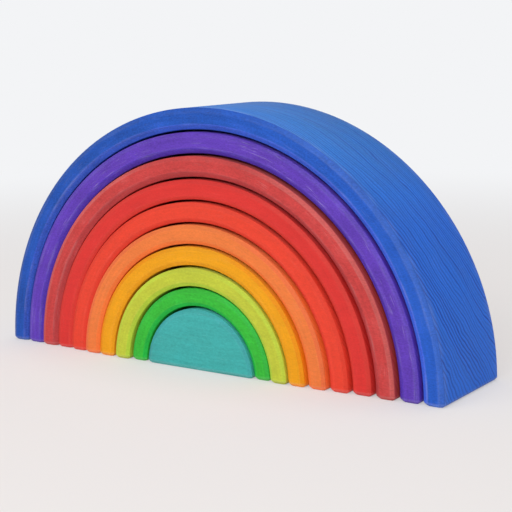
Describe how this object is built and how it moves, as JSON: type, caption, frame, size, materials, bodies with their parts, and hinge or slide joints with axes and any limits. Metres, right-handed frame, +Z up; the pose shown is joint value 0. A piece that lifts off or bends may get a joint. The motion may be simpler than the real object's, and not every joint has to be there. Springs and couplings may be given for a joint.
{
  "type": "nesting rainbow toy",
  "caption": "Nesting rainbow toy: loose arches of stained wood in rainbow colours stand one inside another over a solid half disc, and each slides out of the row for counting and stacking.",
  "frame": {"origin": "on the surface that the set stands on, under the middle of the nested set", "axes": "+X along the row of feet to the right as seen from the front, +Z up, front faces towards -Y"},
  "size_m": [0.3792, 0.091, 0.1882],
  "materials": {
    "teal_stain": "water stain sunk into bare close-grained wood, sanded, satin to matt",
    "green_stain": "water stain sunk into bare close-grained wood, sanded, satin to matt",
    "lime_stain": "water stain sunk into bare close-grained wood, sanded, satin to matt",
    "yellow_stain": "water stain sunk into bare close-grained wood, sanded, satin to matt",
    "orange_stain": "water stain sunk into bare close-grained wood, sanded, satin to matt",
    "scarlet_stain": "water stain sunk into bare close-grained wood, sanded, satin to matt",
    "red_stain": "water stain sunk into bare close-grained wood, sanded, satin to matt",
    "rust_stain": "water stain sunk into bare close-grained wood, sanded, satin to matt",
    "violet_stain": "water stain sunk into bare close-grained wood, sanded, satin to matt",
    "blue_stain": "water stain sunk into bare close-grained wood, sanded, satin to matt"
  },
  "bodies": {
    "teal_half_disc": {"teal_half_disc": "teal_stain"},
    "green_arch": {"green_arch": "green_stain"},
    "lime_arch": {"lime_arch": "lime_stain"},
    "yellow_arch": {"yellow_arch": "yellow_stain"},
    "orange_arch": {"orange_arch": "orange_stain"},
    "scarlet_arch": {"scarlet_arch": "scarlet_stain"},
    "red_arch": {"red_arch": "red_stain"},
    "rust_arch": {"rust_arch": "rust_stain"},
    "violet_arch": {"violet_arch": "violet_stain"},
    "blue_arch": {"blue_arch": "blue_stain"}
  },
  "joints": [
    {"name": "green_arch_slide", "type": "slide", "parent": "teal_half_disc", "child": "green_arch", "axis": [0, -1, 0], "range_m": [-0.1, 0.1]},
    {"name": "lime_arch_slide", "type": "slide", "parent": "teal_half_disc", "child": "lime_arch", "axis": [0, -1, 0], "range_m": [-0.1, 0.1]},
    {"name": "yellow_arch_slide", "type": "slide", "parent": "teal_half_disc", "child": "yellow_arch", "axis": [0, -1, 0], "range_m": [-0.1, 0.1]},
    {"name": "orange_arch_slide", "type": "slide", "parent": "teal_half_disc", "child": "orange_arch", "axis": [0, -1, 0], "range_m": [-0.1, 0.1]},
    {"name": "scarlet_arch_slide", "type": "slide", "parent": "teal_half_disc", "child": "scarlet_arch", "axis": [0, -1, 0], "range_m": [-0.1, 0.1]},
    {"name": "red_arch_slide", "type": "slide", "parent": "teal_half_disc", "child": "red_arch", "axis": [0, -1, 0], "range_m": [-0.1, 0.1]},
    {"name": "rust_arch_slide", "type": "slide", "parent": "teal_half_disc", "child": "rust_arch", "axis": [0, -1, 0], "range_m": [-0.1, 0.1]},
    {"name": "violet_arch_slide", "type": "slide", "parent": "teal_half_disc", "child": "violet_arch", "axis": [0, -1, 0], "range_m": [-0.1, 0.1]},
    {"name": "blue_arch_slide", "type": "slide", "parent": "teal_half_disc", "child": "blue_arch", "axis": [0, -1, 0], "range_m": [-0.1, 0.1]}
  ]
}
